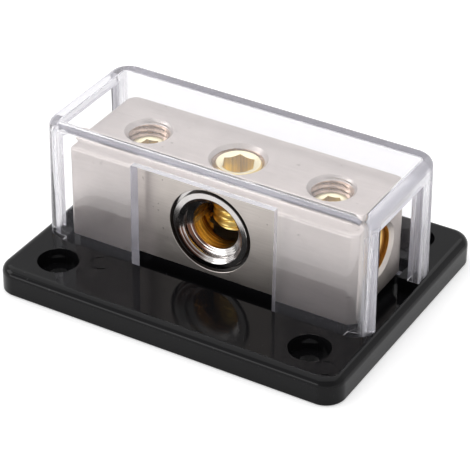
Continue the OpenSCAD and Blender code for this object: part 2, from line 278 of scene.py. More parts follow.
class StageSizes(bpy.types.PropertyGroup):
    """The camera's place and the floor's colour."""
    lens: FloatProperty(name="Lens", description="Focal length of the camera", default=164.354,
                        min=10, subtype="NONE")
    azimuth: FloatProperty(name="Azimuth", description="Camera angle round the object",
                           default=math.radians(30.145), subtype="ANGLE", unit="ROTATION")
    elevation: FloatProperty(name="Elevation", description="Camera angle above the floor",
                             default=math.radians(33.356), subtype="ANGLE", unit="ROTATION")
    roll: FloatProperty(name="Roll", description="Camera turn about its own line of sight",
                        default=math.radians(0.424), subtype="ANGLE", unit="ROTATION")
    distance: length("Distance", "Camera distance", 429.54)
    aside: place("Aside", "Camera shift to its right", -0.64)
    up: place("Up", "Camera shift upwards", 7.508)
    floor: colour("Floor", "Colour of the floor", (0.8, 0.8, 0.8))


# Mesh helpers

def polar(centre, radius, angle, z):
    """A point at a radius and an angle from a centre."""
    return Vector((centre[0] + radius * math.cos(angle), centre[1] + radius * math.sin(angle), z))


def rounded_ring(size_x, size_y, corners, z, inset=0.0):
    """Points of a rounded rectangle at height z, anticlockwise from above, with one radius or four."""
    points = []
    radii = corners if isinstance(corners, tuple) else (corners,) * 4
    for turn, (radius, (sx, sy)) in enumerate(zip(radii, [(1, 1), (-1, 1), (-1, -1), (1, -1)])):
        radius -= inset
        centre = (sx * ((size_x - 2 * inset) / 2 - radius), sy * ((size_y - 2 * inset) / 2 - radius))
        points += [polar(centre, radius, QUARTER * (turn + step / ARC_STEPS), z)
                   for step in range(ARC_STEPS + 1)]
    return points


def round_ring(radius, z, centre=(0, 0), turn=0):
    """Points of a circle at height z, the first of them turned by some degrees."""
    return [polar(centre, radius, 2 * math.pi * i / ROUND_STEPS + math.radians(turn), z)
            for i in range(ROUND_STEPS)]


def hexagon_ring(across, z, centre=(0, 0), turn=0):
    """Points of a hexagon turned by some degrees, given across its flats, as many as a circle has."""
    points = []
    for i in range(ROUND_STEPS):
        angle = 2 * math.pi * i / ROUND_STEPS
        reach = across / 2 / math.cos(angle % (2 * HEX_CORNER) - HEX_CORNER)
        points.append(polar(centre, reach, angle + math.radians(turn), z))
    return points


def socket_mouth(across, radius, top, centre=(0, 0), turn=0):
    """Where a 120 degree countersink of some radius meets the walls of a hexagonal socket."""
    ring = hexagon_ring(across, top, centre=centre, turn=turn)
    for point in ring:
        reach = math.hypot(point.x - centre[0], point.y - centre[1])
        point.z = top - (radius - reach) / SINK_SLOPE
    return ring


def quarter_round(radius, first=0, steps=ARC_STEPS):
    """Pairs of a drop below the top and an inset from the side, up along a quarter circle."""
    angles = [QUARTER * step / steps for step in range(first, steps + 1)]
    return [(radius * (1 - math.sin(angle)), radius * (1 - math.cos(angle))) for angle in angles]


def foot_and_top(low, high, foot, edge, steps=ARC_STEPS):
    """Pairs of a height and an inset for a body with a small foot chamfer and a rounded top edge."""
    return [(low, foot), (low + foot, 0.0)] + [(high - drop, inset)
                                               for drop, inset in quarter_round(edge, steps=steps)]


def loft(name, rings):
    """A mesh object that joins rings of equal length, closed with a face at each end."""
    bm = bmesh.new()
    rows = [[bm.verts.new(p) for p in ring] for ring in rings]
    count = len(rings[0])
    for low, high in zip(rows, rows[1:]):
        for i in range(count):
            j = (i + 1) % count
            bm.faces.new((low[i], low[j], high[j], high[i]))
    bm.faces.new(list(reversed(rows[0])))
    bm.faces.new(rows[-1])
    bmesh.ops.recalc_face_normals(bm, faces=bm.faces)
    mesh = bpy.data.meshes.new(name)
    bm.to_mesh(mesh)
    bm.free()
    piece = bpy.data.objects.new(name, mesh)
    bpy.context.scene.collection.objects.link(piece)
    return piece


def turned(name, profile, centre=(0, 0)):
    """A body turned about its upright axis from pairs of radius and height."""
    return loft(name, [round_ring(radius, z, centre) for radius, z in profile])


def aim(piece, direction, origin):
    """Turns a body's upright axis to a direction and moves its zero to an origin."""
    turn = Vector(direction).to_track_quat("Z", "Y").to_matrix().to_4x4()
    piece.data.transform(Matrix.Translation(origin) @ turn)
    return piece


def thread_radius(crest, root, pitch, angle, z):
    """Radius of a right-handed thread with small flats on its crests and in its roots."""
    turn = (z / pitch - angle / (2 * math.pi)) % 1.0
    slope = (abs(2 * turn - 1) - THREAD_FLAT) / (1 - 2 * THREAD_FLAT)
    return crest + (root - crest) * min(max(slope, 0.0), 1.0)


def thread_rings(crest, root, pitch, low, high, limit, centre=(0, 0)):
    """Rings of a thread from one height to another. limit trims a ring's radius at a height."""
    count = math.ceil((high - low) / pitch * THREAD_STEPS)
    rings = []
    for step in range(count + 1):
        z = low + (high - low) * step / count
        ring = []
        for i in range(ROUND_STEPS):
            angle = 2 * math.pi * i / ROUND_STEPS
            ring.append(polar(centre, limit(thread_radius(crest, root, pitch, angle, z), z), angle, z))
        rings.append(ring)
    return rings


def box_piece(name, low, high):
    """A plain box, for the floor and to cut with."""
    x0, y0, z0 = low
    x1, y1, z1 = high
    rings = [[Vector((x0, y0, z)), Vector((x1, y0, z)), Vector((x1, y1, z)), Vector((x0, y1, z))]
             for z in (z0, z1)]
    return loft(name, rings)


def settle(piece):
    """Applies the piece's modifiers to its mesh."""
    graph = bpy.context.evaluated_depsgraph_get()
    mesh = bpy.data.meshes.new_from_object(piece.evaluated_get(graph))
    old = piece.data
    piece.modifiers.clear()
    piece.data = mesh
    bpy.data.meshes.remove(old)


def carve(piece, tool, operation="DIFFERENCE"):
    """Cuts the tool from the piece, or joins it on, and removes the tool."""
    modifier = piece.modifiers.new("carve", "BOOLEAN")
    modifier.operation = operation
    modifier.solver = "EXACT"
    modifier.object = tool
    settle(piece)
    mesh = tool.data
    bpy.data.objects.remove(tool)
    bpy.data.meshes.remove(mesh)


def even_normals(piece, mode, weight, keep_sharp=False):
    """Weights the normals by the size of the faces and settles the piece."""
    weighted = piece.modifiers.new("weighted", "WEIGHTED_NORMAL")
    weighted.mode = mode
    weighted.weight = weight
    weighted.keep_sharp = keep_sharp
    settle(piece)


def soften(piece, radius):
    """Rounds the sharp edges a little and shades the flat faces flat."""
    for polygon in piece.data.polygons:
        polygon.use_smooth = True
    bevel = piece.modifiers.new("bevel", "BEVEL")
    bevel.width = radius
    bevel.segments = BEVEL_STEPS
    bevel.limit_method = "ANGLE"
    bevel.angle_limit = BEVEL_ANGLE
    bevel.miter_outer = "MITER_ARC"
    bevel.use_clamp_overlap = True
    even_normals(piece, "FACE_AREA_WITH_ANGLE", 80)


def crease(piece):
    """Shades the piece smooth, apart from its sharp edges."""
    bm = bmesh.new()
    bm.from_mesh(piece.data)
    for face in bm.faces:
        face.smooth = True
    for edge in bm.edges:
        edge.smooth = edge.is_manifold and edge.calc_face_angle(0.0) < CREASE_ANGLE
    bm.to_mesh(piece.data)
    bm.free()
    even_normals(piece, "FACE_AREA", 90, keep_sharp=True)


def dress(piece, body, slot, materials, *nodes):
    """Gives the piece its materials and body, and hides the nodes that it stands for. The slot argument is
    not used.
    """
    given = materials if isinstance(materials, tuple) else (materials,)
    kinds = [polygon.material_index for polygon in piece.data.polygons]
    piece.data.materials.clear()
    for material in given:
        piece.data.materials.append(material)
    piece.data.polygons.foreach_set("material_index", [min(kind, len(given) - 1) for kind in kinds])
    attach(piece, body)
    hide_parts(*nodes)


# Shader helpers

def new_group(name, inputs, outputs):
    """A shader node group with named number sockets. inputs maps each name to its default."""
    tree = bpy.data.node_groups.new(name, "ShaderNodeTree")
    for socket, default in inputs.items():
        made = tree.interface.new_socket(name=socket, in_out="INPUT", socket_type="NodeSocketFloat")
        made.default_value = default
    for socket in outputs:
        tree.interface.new_socket(name=socket, in_out="OUTPUT", socket_type="NodeSocketFloat")
    return tree, tree.nodes.new("NodeGroupInput").outputs, tree.nodes.new("NodeGroupOutput").inputs


def feed(tree, socket, value):
    """Sets a socket to a number or a colour, or links another socket to it."""
    if isinstance(value, bpy.types.NodeSocket):
        tree.links.new(value, socket)
    else:
        socket.default_value = value


def maths(tree, operation, *values, clamp=False):
    """A Math node. Each value is a number or a socket."""
    node = tree.nodes.new("ShaderNodeMath")
    node.operation = operation
    node.use_clamp = clamp
    for socket, value in zip(node.inputs, values):
        feed(tree, socket, value)
    return node.outputs[0]


def noise(tree, vector, scale, detail, roughness):
    """A Noise Texture's value."""
    node = tree.nodes.new("ShaderNodeTexNoise")
    for name, value in (("Vector", vector), ("Scale", scale), ("Detail", detail), ("Roughness", roughness)):
        feed(tree, node.inputs[name], value)
    return node.outputs["Fac"]


def grain(tree, frequency, scale, detail, roughness):
    """A noise on the object with its own frequency along each axis."""
    coordinates = tree.nodes.new("ShaderNodeTexCoord")
    mapping = tree.nodes.new("ShaderNodeMapping")
    mapping.inputs["Scale"].default_value = frequency
    tree.links.new(coordinates.outputs["Object"], mapping.inputs["Vector"])
    return noise(tree, mapping.outputs["Vector"], scale, detail, roughness)


def position(tree):
    """The object's X, Y and Z."""
    coordinates = tree.nodes.new("ShaderNodeTexCoord")
    split = tree.nodes.new("ShaderNodeSeparateXYZ")
    tree.links.new(coordinates.outputs["Object"], split.inputs[0])
    return split.outputs


def remap(tree, value, low, high, to_low=0.0, to_high=1.0):
    """A Map Range node, from one span to another."""
    node = tree.nodes.new("ShaderNodeMapRange")
    names = ("Value", "From Min", "From Max", "To Min", "To Max")
    for name, given in zip(names, (value, low, high, to_low, to_high)):
        feed(tree, node.inputs[name], given)
    return node.outputs["Result"]


def mix(tree, share, first, second, kind="RGBA"):
    """A Mix node for colours, or for numbers when its kind is FLOAT."""
    node = tree.nodes.new("ShaderNodeMix")
    node.data_type = kind
    place_in, place_out = MIX_PLACES[kind]
    feed(tree, node.inputs[0], share)
    feed(tree, node.inputs[place_in], first)
    feed(tree, node.inputs[place_in + 1], second)
    return node.outputs[place_out]


def mix_shaders(tree, share, first, second):
    """A Mix Shader node."""
    node = tree.nodes.new("ShaderNodeMixShader")
    for socket, value in zip(node.inputs, (share, first, second)):
        tree.links.new(value, socket)
    return node.outputs["Shader"]


def ray_masks(tree):
    """A mask of the rays that see a thing plainly or through glass, and a mask of mirrored rays."""
    rays = tree.nodes.new("ShaderNodeLightPath")
    seen = maths(tree, "MAXIMUM", rays.outputs["Is Camera Ray"], rays.outputs["Is Transmission Ray"])
    return seen, rays.outputs["Is Glossy Ray"]


def rgba(value, shade=1.0):
    """A colour as a tuple with alpha, darkened by a shade below one."""
    return (value[0] * shade, value[1] * shade, value[2] * shade, 1.0)


def start_material(name, constants):
    """A material, its tree and its Principled shader with some constants set."""
    material = bpy.data.materials.new(name)
    material.use_nodes = True
    tree = material.node_tree
    shader = tree.nodes["Principled BSDF"]
    for socket, value in constants.items():
        shader.inputs[socket].default_value = value
    return material, tree, shader


def add_group(tree, group, **values):
    """Places a node group by its name, sets its numbers and gives its outputs."""
    node = tree.nodes.new("ShaderNodeGroup")
    node.node_tree = bpy.data.node_groups[group]
    for name, value in values.items():
        node.inputs[name].default_value = value
    return node.outputs


def paint(tree, shader, tone, roughness):
    """Feeds the shader's colour and roughness."""
    feed(tree, shader.inputs["Base Color"], tone)
    feed(tree, shader.inputs["Roughness"], roughness)


def add_bump(tree, shader, height, strength, distance):
    """Feeds a height into the shader's Normal, on top of any bump that is there."""
    bump = tree.nodes.new("ShaderNodeBump")
    if shader.inputs["Normal"].is_linked:
        tree.links.new(shader.inputs["Normal"].links[0].from_socket, bump.inputs["Normal"])
    for name, value in (("Strength", strength), ("Distance", distance), ("Height", height)):
        feed(tree, bump.inputs[name], value)
    tree.links.new(bump.outputs["Normal"], shader.inputs["Normal"])


# Effects shared by the materials

def brushing_group():
    """Fine marks that run along X, as a height and a share of roughness, and dark specks."""
    tree, given, out = new_group("brushing", {"Scale": 1.0, "Specks": 0.5},
                                 ("Height", "Roughness", "Speck"))
    lines = grain(tree, LINE_FREQUENCY, given["Scale"], 3, 0.6)
    blotch = grain(tree, BLOTCH_FREQUENCY, given["Scale"], 3, 0.5)
    speck = remap(tree, grain(tree, GRIT_FREQUENCY, given["Scale"], 1, 0.5), *SPECK_SPAN)
    for name, share in (("Height", 0.7), ("Roughness", 0.5)):
        tree.links.new(maths(tree, "ADD", maths(tree, "MULTIPLY", lines, share),
                             maths(tree, "MULTIPLY", blotch, 1 - share)), out[name])
    tree.links.new(maths(tree, "MULTIPLY", speck, given["Specks"]), out["Speck"])


def handling_group():
    """Faint smears and dust left by handling, as masks, and a gentle wave as a height."""
    tree, given, out = new_group("handling", {"Scale": 1.0, "Amount": 1.0}, ("Smear", "Dust", "Height"))
    smear = remap(tree, grain(tree, SMEAR_FREQUENCY, given["Scale"], 5, 0.6), *SMEAR_SPAN)
    dust = remap(tree, grain(tree, DUST_FREQUENCY, given["Scale"], 0, 0.5), *DUST_SPAN)
    tree.links.new(maths(tree, "MULTIPLY", smear, given["Amount"]), out["Smear"])
    tree.links.new(maths(tree, "MULTIPLY", dust, given["Amount"]), out["Dust"])
    tree.links.new(grain(tree, WAVE_FREQUENCY, given["Scale"], 1, 0.4), out["Height"])


def turning_group():
    """Rings and bands left by the tool round the bores' axes, a stain, and a painted dark reflection low on
    one side.
    """
    tree, given, out = new_group("turning", {
        "Axis height": 15.86 * MM,
        "End": 26.0 * MM,
        "Scale": FINE_RINGS,
    }, ("Height", "Stain", "Painted reflection", "Bands"))
    x, y, z = position(tree)
    up = maths(tree, "SUBTRACT", z, given["Axis height"])
    at_end = maths(tree, "GREATER_THAN", maths(tree, "ABSOLUTE", x), given["End"])
    aside = mix(tree, at_end, x, y, "FLOAT")
    along = mix(tree, at_end, y, x, "FLOAT")
    reach = maths(tree, "SQRT", maths(tree, "ADD", maths(tree, "MULTIPLY", aside, aside),
                                      maths(tree, "MULTIPLY", up, up)))
    combined = tree.nodes.new("ShaderNodeCombineXYZ")
    tree.links.new(reach, combined.inputs[0])
    tree.links.new(along, combined.inputs[1])
    rings = combined.outputs[0]
    tree.links.new(noise(tree, rings, given["Scale"], 2, 0.5), out["Height"])
    stain = remap(tree, grain(tree, STAIN_FREQUENCY, 1.0, 4, 0.6), 0.5, 0.8)
    tree.links.new(maths(tree, "MULTIPLY", stain, 0.5), out["Stain"])
    # A painted dark reflection on the low side of each mouth, streaked along the tool's rings
    low_side = maths(tree, "DIVIDE", maths(tree, "ADD", maths(tree, "MULTIPLY", aside, PAINTED_REFLECTION_SIDE[0]),
                                           maths(tree, "MULTIPLY", up, PAINTED_REFLECTION_SIDE[1])), reach)
    streaks = remap(tree, noise(tree, rings, STREAK_RINGS, 1, 0.5), 0.4, 0.5, 0.2, 1.0)
    tree.links.new(maths(tree, "MULTIPLY", remap(tree, low_side, 0.66, 0.9), streaks), out["Painted reflection"])
    tree.links.new(remap(tree, noise(tree, rings, BAND_RINGS, 2, 0.6), 0.44, 0.6), out["Bands"])


def end_mask_group():
    """Masks of the cover's end walls and of their legs below the windows' top."""
    tree, given, out = new_group("end_mask", {
        "Start": 34.1 * MM,
        "Blend": 0.6 * MM,
        "Leg top": 28.0 * MM,
    }, ("End", "Leg"))
    x, _, z = position(tree)
    outwards = maths(tree, "SUBTRACT", maths(tree, "ABSOLUTE", x), given["Start"])
    below = maths(tree, "SUBTRACT", given["Leg top"], z)
    tree.links.new(maths(tree, "DIVIDE", outwards, given["Blend"], clamp=True), out["End"])
    tree.links.new(maths(tree, "DIVIDE", below, given["Blend"], clamp=True), out["Leg"])


# Materials

def base_material(finishes):
    """Glossy black moulded plastic."""
    material, tree, shader = start_material("black_plastic", {"IOR": PLASTIC_IOR,
                                                              "Specular IOR Level": PLASTIC_SHINE})
    marks = add_group(tree, "handling", Scale=1.0, Amount=1.0)
    paint(tree, shader, mix(tree, marks["Dust"], rgba(finishes.plastic), DUST_TONE),
          remap(tree, marks["Smear"], 0, 1, *PLASTIC_ROUGH))
    add_bump(tree, shader, marks["Height"], 0.12, MOULDED)
    return material


def brushed_metal(name, tone, speck, rough, strength, scale, specks, shade=1.0):
    """Metal with brushing marks and specks, and with a second, darker tone if its shade is below one."""
    material, tree, shader = start_material(name, {"Metallic": 1.0})
    brushed = add_group(tree, "brushing", Scale=scale, Specks=specks)
    surface = rgba(tone)
    if shade < 1:
        surface = mix(tree, remap(tree, brushed["Roughness"], *SPAN), surface, rgba(tone, shade))
    paint(tree, shader, mix(tree, brushed["Speck"], surface, speck),
          remap(tree, brushed["Roughness"], *SPAN, *rough))
    add_bump(tree, shader, brushed["Height"], strength, FINE)
    return material


def turned_metal(name, tone, rings, depth, rough, strength, mask=None, second=None):
    """Metal with rings left by the tool and, under one of the turning masks, a second tone."""
    material, tree, shader = start_material(name, {"Metallic": 1.0})
    cut = add_group(tree, "turning", Scale=rings)
    surface = mix(tree, cut["Stain"], rgba(tone), rgba(tone, STAIN_SHADE))
    if mask:
        surface = mix(tree, cut[mask], surface, rgba(second))
    paint(tree, shader, surface, remap(tree, cut["Height"], *SPAN, rough * 0.8, rough * 1.25))
    add_bump(tree, shader, cut["Height"], strength, depth)
    return material


def block_materials(finishes):
    """Satin nickel plate, its turned mouths with a painted reflection low on one side, the brass bores, the
    threads and painted shade in the groove.
    """
    satin = brushed_metal("satin_nickel", finishes.nickel, NICKEL_SPECK, SATIN_ROUGH,
                          strength=0.6, scale=1.0, specks=0.6, shade=0.84)
    tree = satin.node_tree
    wavy = add_group(tree, "handling", Scale=1.4, Amount=1.0)
    add_bump(tree, tree.nodes["Principled BSDF"], wavy["Height"], 0.5, WAVE)
    # The front bore's turned mouth gets a painted dark brown reflection low on one side
    mouth = turned_metal("turned_nickel", finishes.turned, FINE_RINGS, FINE, rough=0.12, strength=0.25,
                         mask="Painted reflection", second=finishes.painted_reflection)
    bore = turned_metal("bore_brass", finishes.brass, COARSE_RINGS, COARSE, rough=0.28, strength=1.0,
                        mask="Bands", second=finishes.deep_brass)
    thread = turned_metal("thread_brass", finishes.thread, FINE_RINGS, FINE, rough=0.24, strength=0.2)
    # The groove's faces get a near black colour as painted shade
    groove, tree, shader = start_material("groove_shadow", {})
    marks = add_group(tree, "handling", Scale=2.0, Amount=1.0)
    paint(tree, shader, mix(tree, marks["Smear"], *GROOVE_SHADE_TONES), 0.6)
    return satin, mouth, bore, thread, groove


def screw_materials(finishes):
    """Gold plate on the set screws' threads and inside their sockets, and the same gold painted paler on
    their ends as a highlight.
    """
    thread = brushed_metal("thread_gold", finishes.gold, GOLD_SPECK, GOLD_ROUGH,
                           strength=0.15, scale=1.6, specks=0.2)
    socket, tree, shader = start_material("socket_gold", {"Metallic": 1.0})
    streak = grain(tree, BROACH_FREQUENCY, 1.0, 2, 0.5)
    paint(tree, shader, mix(tree, remap(tree, streak, 0.45, 0.75), rgba(finishes.socket),
                            rgba(finishes.socket, 0.72)), remap(tree, streak, *SPAN, *SOCKET_ROUGH))
    add_bump(tree, shader, streak, 0.3, FINE)
    # The ends are painted a paler gold as a painted highlight
    face = brushed_metal("lit_face_gold", finishes.face, GOLD_SPECK, GOLD_ROUGH,
                         strength=0.15, scale=1.6, specks=0.2)
    return thread, socket, face


def clear_material(finishes):
    """Clear plastic with matt ends, milky where light runs along inside it, and open to shadow rays."""
    material, tree, shader = start_material("clear_plastic", {
        "Base Color": rgba(finishes.clear),
        "Transmission Weight": 1.0,
        "IOR": COVER_IOR,
        "Specular IOR Level": COVER_SHINE,
    })
    marks = add_group(tree, "handling", Scale=0.8, Amount=0.6)
    ends = add_group(tree, "end_mask")
    matt = maths(tree, "MULTIPLY", ends["End"], END_ROUGH)
    tree.links.new(maths(tree, "ADD", remap(tree, marks["Smear"], 0, 1, *COVER_ROUGH), matt),
                   shader.inputs["Roughness"])
    milk = tree.nodes.new("ShaderNodeBsdfDiffuse")
    milk.inputs["Color"].default_value = rgba(finishes.milk)
    facing = tree.nodes.new("ShaderNodeLayerWeight")
    facing.inputs["Blend"].default_value = 0.5
    geometry = tree.nodes.new("ShaderNodeNewGeometry")
    guided = maths(tree, "MULTIPLY", geometry.outputs["Backfacing"],
                   remap(tree, facing.outputs["Facing"], *GUIDED_SPAN))
    streaks = remap(tree, grain(tree, LEG_FREQUENCY, 1.0, 2, 0.6), 0.35, 0.65, *LEG_STREAKS)
    level = maths(tree, "ADD", maths(tree, "MULTIPLY", streaks, ends["Leg"]), END_MILK)
    share = maths(tree, "MAXIMUM", remap(tree, guided, 0, 1, *PANE_MILK),
                  maths(tree, "MULTIPLY", ends["End"], level))
    cloudy = mix_shaders(tree, share, shader.outputs["BSDF"], milk.outputs["BSDF"])
    rays = tree.nodes.new("ShaderNodeLightPath")
    through = tree.nodes.new("ShaderNodeBsdfTransparent")
    through.inputs["Color"].default_value = SHADOW_TONE
    light = maths(tree, "MAXIMUM", rays.outputs["Is Shadow Ray"], rays.outputs["Is Diffuse Ray"])
    tree.links.new(mix_shaders(tree, light, cloudy, through.outputs["BSDF"]),
                   tree.nodes["Material Output"].inputs["Surface"])
    return material


def floor_material(tone):
    """White floor that keeps the shadow and shows white to the camera and in reflections."""
    material, tree, shader = start_material("white_floor", {
        "Base Color": rgba(tone),
        "Roughness": 0.9,
        "Specular IOR Level": 0.0,
    })
    seen, mirrored = ray_masks(tree)
    glow = tree.nodes.new("ShaderNodeEmission")
    tree.links.new(maths(tree, "MAXIMUM", maths(tree, "MULTIPLY", seen, FLOOR_SEEN),
                         maths(tree, "MULTIPLY", mirrored, FLOOR_MIRRORED)), glow.inputs["Strength"])
    both = tree.nodes.new("ShaderNodeAddShader")
    tree.links.new(shader.outputs["BSDF"], both.inputs[0])
    tree.links.new(glow.outputs["Emission"], both.inputs[1])
    tree.links.new(both.outputs["Shader"], tree.nodes["Material Output"].inputs["Surface"])
    return material


# The stage and the pieces

def area_lamp(name, location, target, size, power):
    """A soft lamp that faces a target."""
    data = bpy.data.lights.new(name, "AREA")
    data.shape = "RECTANGLE"
    data.size, data.size_y = size
    data.energy = power
    lamp = bpy.data.objects.new(name, data)
    lamp.location = location
    lamp.rotation_mode = "QUATERNION"
    lamp.rotation_quaternion = (Vector(target) - Vector(location)).to_track_quat("-Z", "Y")
    bpy.context.scene.collection.objects.link(lamp)


def studio_world(front):
    """A plain pale world, a little dimmer in the reflections of one side of it."""
    world = bpy.data.worlds.new("studio")
    world.use_nodes = True
    tree = world.node_tree
    ground = tree.nodes["Background"]
    seen, mirrored = ray_masks(tree)
    direction = tree.nodes.new("ShaderNodeTexCoord")
    towards = tree.nodes.new("ShaderNodeVectorMath")
    towards.operation = "DOT_PRODUCT"
    tree.links.new(direction.outputs["Generated"], towards.inputs[0])
    towards.inputs[1].default_value = front
    dim = maths(tree, "MULTIPLY", remap(tree, towards.outputs["Value"], *DIM_SPAN), mirrored)
    level = remap(tree, maths(tree, "MAXIMUM", seen, mirrored), 0, 1, WORLD_LIGHT, WORLD_SEEN)
    tree.links.new(maths(tree, "MULTIPLY", level, remap(tree, dim, 0, 1, 1, FRONT_DIM)),
                   ground.inputs["Strength"])
    ground.inputs["Color"].default_value = (1, 1, 1, 1)
    return world


class SCENE_OT_terminal_stage(bpy.types.Operator):
    """Makes the camera, the floor, the lamps and the world."""
    bl_idname = "scene.terminal_stage"
    bl_label = "Stage"

    def execute(self, context):
        scene = context.scene
        sizes = scene.terminal_stage_sizes
        az, el, roll = sizes.azimuth, sizes.elevation, sizes.roll
        back = Vector((math.sin(az) * math.cos(el), -math.cos(az) * math.cos(el), math.sin(el)))
        right = Vector((math.cos(az), math.sin(az), 0))
        up = back.cross(right)
        right, up = (math.cos(roll) * right + math.sin(roll) * up,
                     math.cos(roll) * up - math.sin(roll) * right)
        data = bpy.data.cameras.new("photo_camera")
        data.lens = sizes.lens
        data.sensor_width = SENSOR_WIDTH
        data.shift_x = SHIFT_PIXELS / PHOTO_PIXELS
        data.clip_start, data.clip_end = NEAR, FAR
        camera = bpy.data.objects.new("photo_camera", data)
        eye = back * sizes.distance + right * sizes.aside + up * sizes.up
        turn = Matrix((right, up, back)).transposed()
        camera.matrix_world = Matrix.Translation(eye) @ turn.to_4x4()
        scene.collection.objects.link(camera)
        scene.camera = camera
        scene.view_settings.view_transform = "Standard"
        floor = box_piece("floor", (-FLOOR_REACH, -FLOOR_REACH, FLOOR_LOW),
                          (FLOOR_REACH, FLOOR_REACH, FLOOR_TOP))
        floor.data.materials.append(floor_material(sizes.floor))
        scene.world = studio_world(back)
        for lamp in LAMPS:
            area_lamp(*lamp)
        return {"FINISHED"}


def stepped_hole(name, centre, lower, upper, step):
    """A cutter through the base, with one radius below a step and another above it."""
    return turned(name, [(lower, BASE_LOW.z - OVER), (lower, step), (upper, step),
                         (upper, BASE_HIGH.z + OVER)], centre)


class MESH_OT_terminal_base(bpy.types.Operator):
    """Builds the black moulded base with its recess, island and counterbored holes."""
    bl_idname = "mesh.terminal_base"
    bl_label = "Base"

    def execute(self, context):
        sizes = context.scene.terminal_base_sizes
        low, high = BASE_LOW, BASE_HIGH
        size_x, size_y = high.x - low.x, high.y - low.y
        foot = 0.25 * MM
        base = loft("moulded_base", [rounded_ring(size_x, size_y, sizes.corner_radius, z, inset)
                                     for z, inset in foot_and_top(low.z, high.z, foot, sizes.edge_radius)])
        self.cut_recess(base, sizes, high.z - sizes.recess_depth, high.z + OVER)
        hole_x, hole_y = size_x / 2 - sizes.hole_inset_x, size_y / 2 - sizes.hole_inset_y
        shelf = high.z - sizes.counterbore_depth
        for x in (-hole_x, hole_x):
            for y in (-hole_y, hole_y):
                carve(base, stepped_hole("hole", (x, y), sizes.hole, sizes.counterbore, shelf))
        head_room, head_top, shaft_room = 3.05 * MM, 2.2 * MM, 1.7 * MM
        for x in (-FIXING_X, FIXING_X):
            carve(base, stepped_hole("head_recess", (x, 0), head_room, shaft_room, head_top))
        soften(base, sizes.softness)
        inner = sizes.pin_mark - 2 * sizes.pin_depth
        for centre in PIN_MARKS:
            ring = turned("pin_mark", [(sizes.pin_mark, high.z - sizes.pin_depth),
                                       (sizes.pin_mark, high.z + OVER)], centre)
            carve(ring, turned("pin_face", [(inner, high.z - OVER), (inner, high.z + 2 * OVER)], centre))
            carve(base, ring)
        crease(base)
        dress(base, "body", "base", base_material(context.scene.terminal_finishes), "base")
        return {"FINISHED"}

    @staticmethod
    def cut_recess(base, sizes, floor, top):
        """Cuts the recess for the cover's skirts, and leaves the island that the block stands on."""
        side_room, end_room = 0.1 * MM, 0.05 * MM
        under_end, under_side = 0.95 * MM, 0.2 * MM
        side, reach = COVER_HIGH.y + side_room, COVER_HIGH.x + end_room
        half = sizes.skirt_length / 2
        recess = box_piece("recess", (-half, -side, floor), (half, side, top))
        carve(recess, box_piece("right_part", (0, sizes.end_front, floor),
                                (reach, sizes.end_rear, top)), "UNION")
        carve(recess, box_piece("left_part", (-reach, sizes.left_end_front, floor),
                                (0, sizes.left_end_rear, top)), "UNION")
        island_x, island_y = 2 * (BLOCK_HIGH.x - under_end), 2 * (BLOCK_HIGH.y - under_side)
        carve(recess, loft("island", [rounded_ring(island_x, island_y, sizes.island_radius, z)
                                      for z in (floor - OVER, top + OVER)]))
        carve(base, recess)


def bore_profile(mouth, sizes):
    """Pairs of radius and height for a wire bore's cutter, with its mouth at nought."""
    rim, ripple, tip_flat = 0.1 * MM, 0.018 * MM, 0.02
    waves, wave_steps = 3, 8
    profile = [(mouth.bore * tip_flat, -mouth.depth - mouth.bore * BORE_TIP), (mouth.bore, -mouth.depth)]
    cone_low = -(sizes.countersink + sizes.step_length + sizes.cone)
    slopes = [((mouth.bore, cone_low), (mouth.step, -sizes.countersink - sizes.step_length)),
              ((mouth.step, -sizes.countersink), (mouth.lip, -rim))]
    for (r0, z0), (r1, z1) in slopes:
        long = math.hypot(r1 - r0, z1 - z0)
        out = ((z0 - z1) / long, (r1 - r0) / long)
        for i in range(waves * wave_steps + 1):
            share = i / (waves * wave_steps)
            push = ripple * (1 - math.cos(2 * math.pi * waves * share)) / 2
            profile.append((r0 + (r1 - r0) * share - out[0] * push,
                            z0 + (z1 - z0) * share - out[1] * push))
    return profile + [(mouth.lip + rim, 0.0), (mouth.lip + 5 * rim, 4 * rim)]


def screw_threads(sizes):
    """The centre, left and right set screws' threads."""
    outer = (sizes.outer_crest, sizes.outer_root, sizes.outer_pitch, sizes.outer_socket, OUTER_HOLE,
             OUTER_TURN)
    return [Thread("centre", 0.0, sizes.centre_crest, sizes.centre_root, sizes.centre_pitch,
                   sizes.centre_socket, CENTRE_HOLE, CENTRE_TURN),
            Thread("left", -sizes.outer_place, *outer),
            Thread("right", sizes.outer_place, *outer)]


def groove_cutter(groove, core, deep):
    """A ring from one radius in to another, with a small chamfer at its mouth, which is at nought."""
    edge = 0.07 * MM
    ring = turned("groove", [(groove, -deep), (groove, -edge), (groove + edge, 0),
                             (groove + 2 * edge, edge)])
    carve(ring, turned("core", [(core, -2 * deep), (core, -edge), (core - edge, 0),
                                (core - 2 * edge, edge), (core - 2 * edge, OVER)]))
    return ring


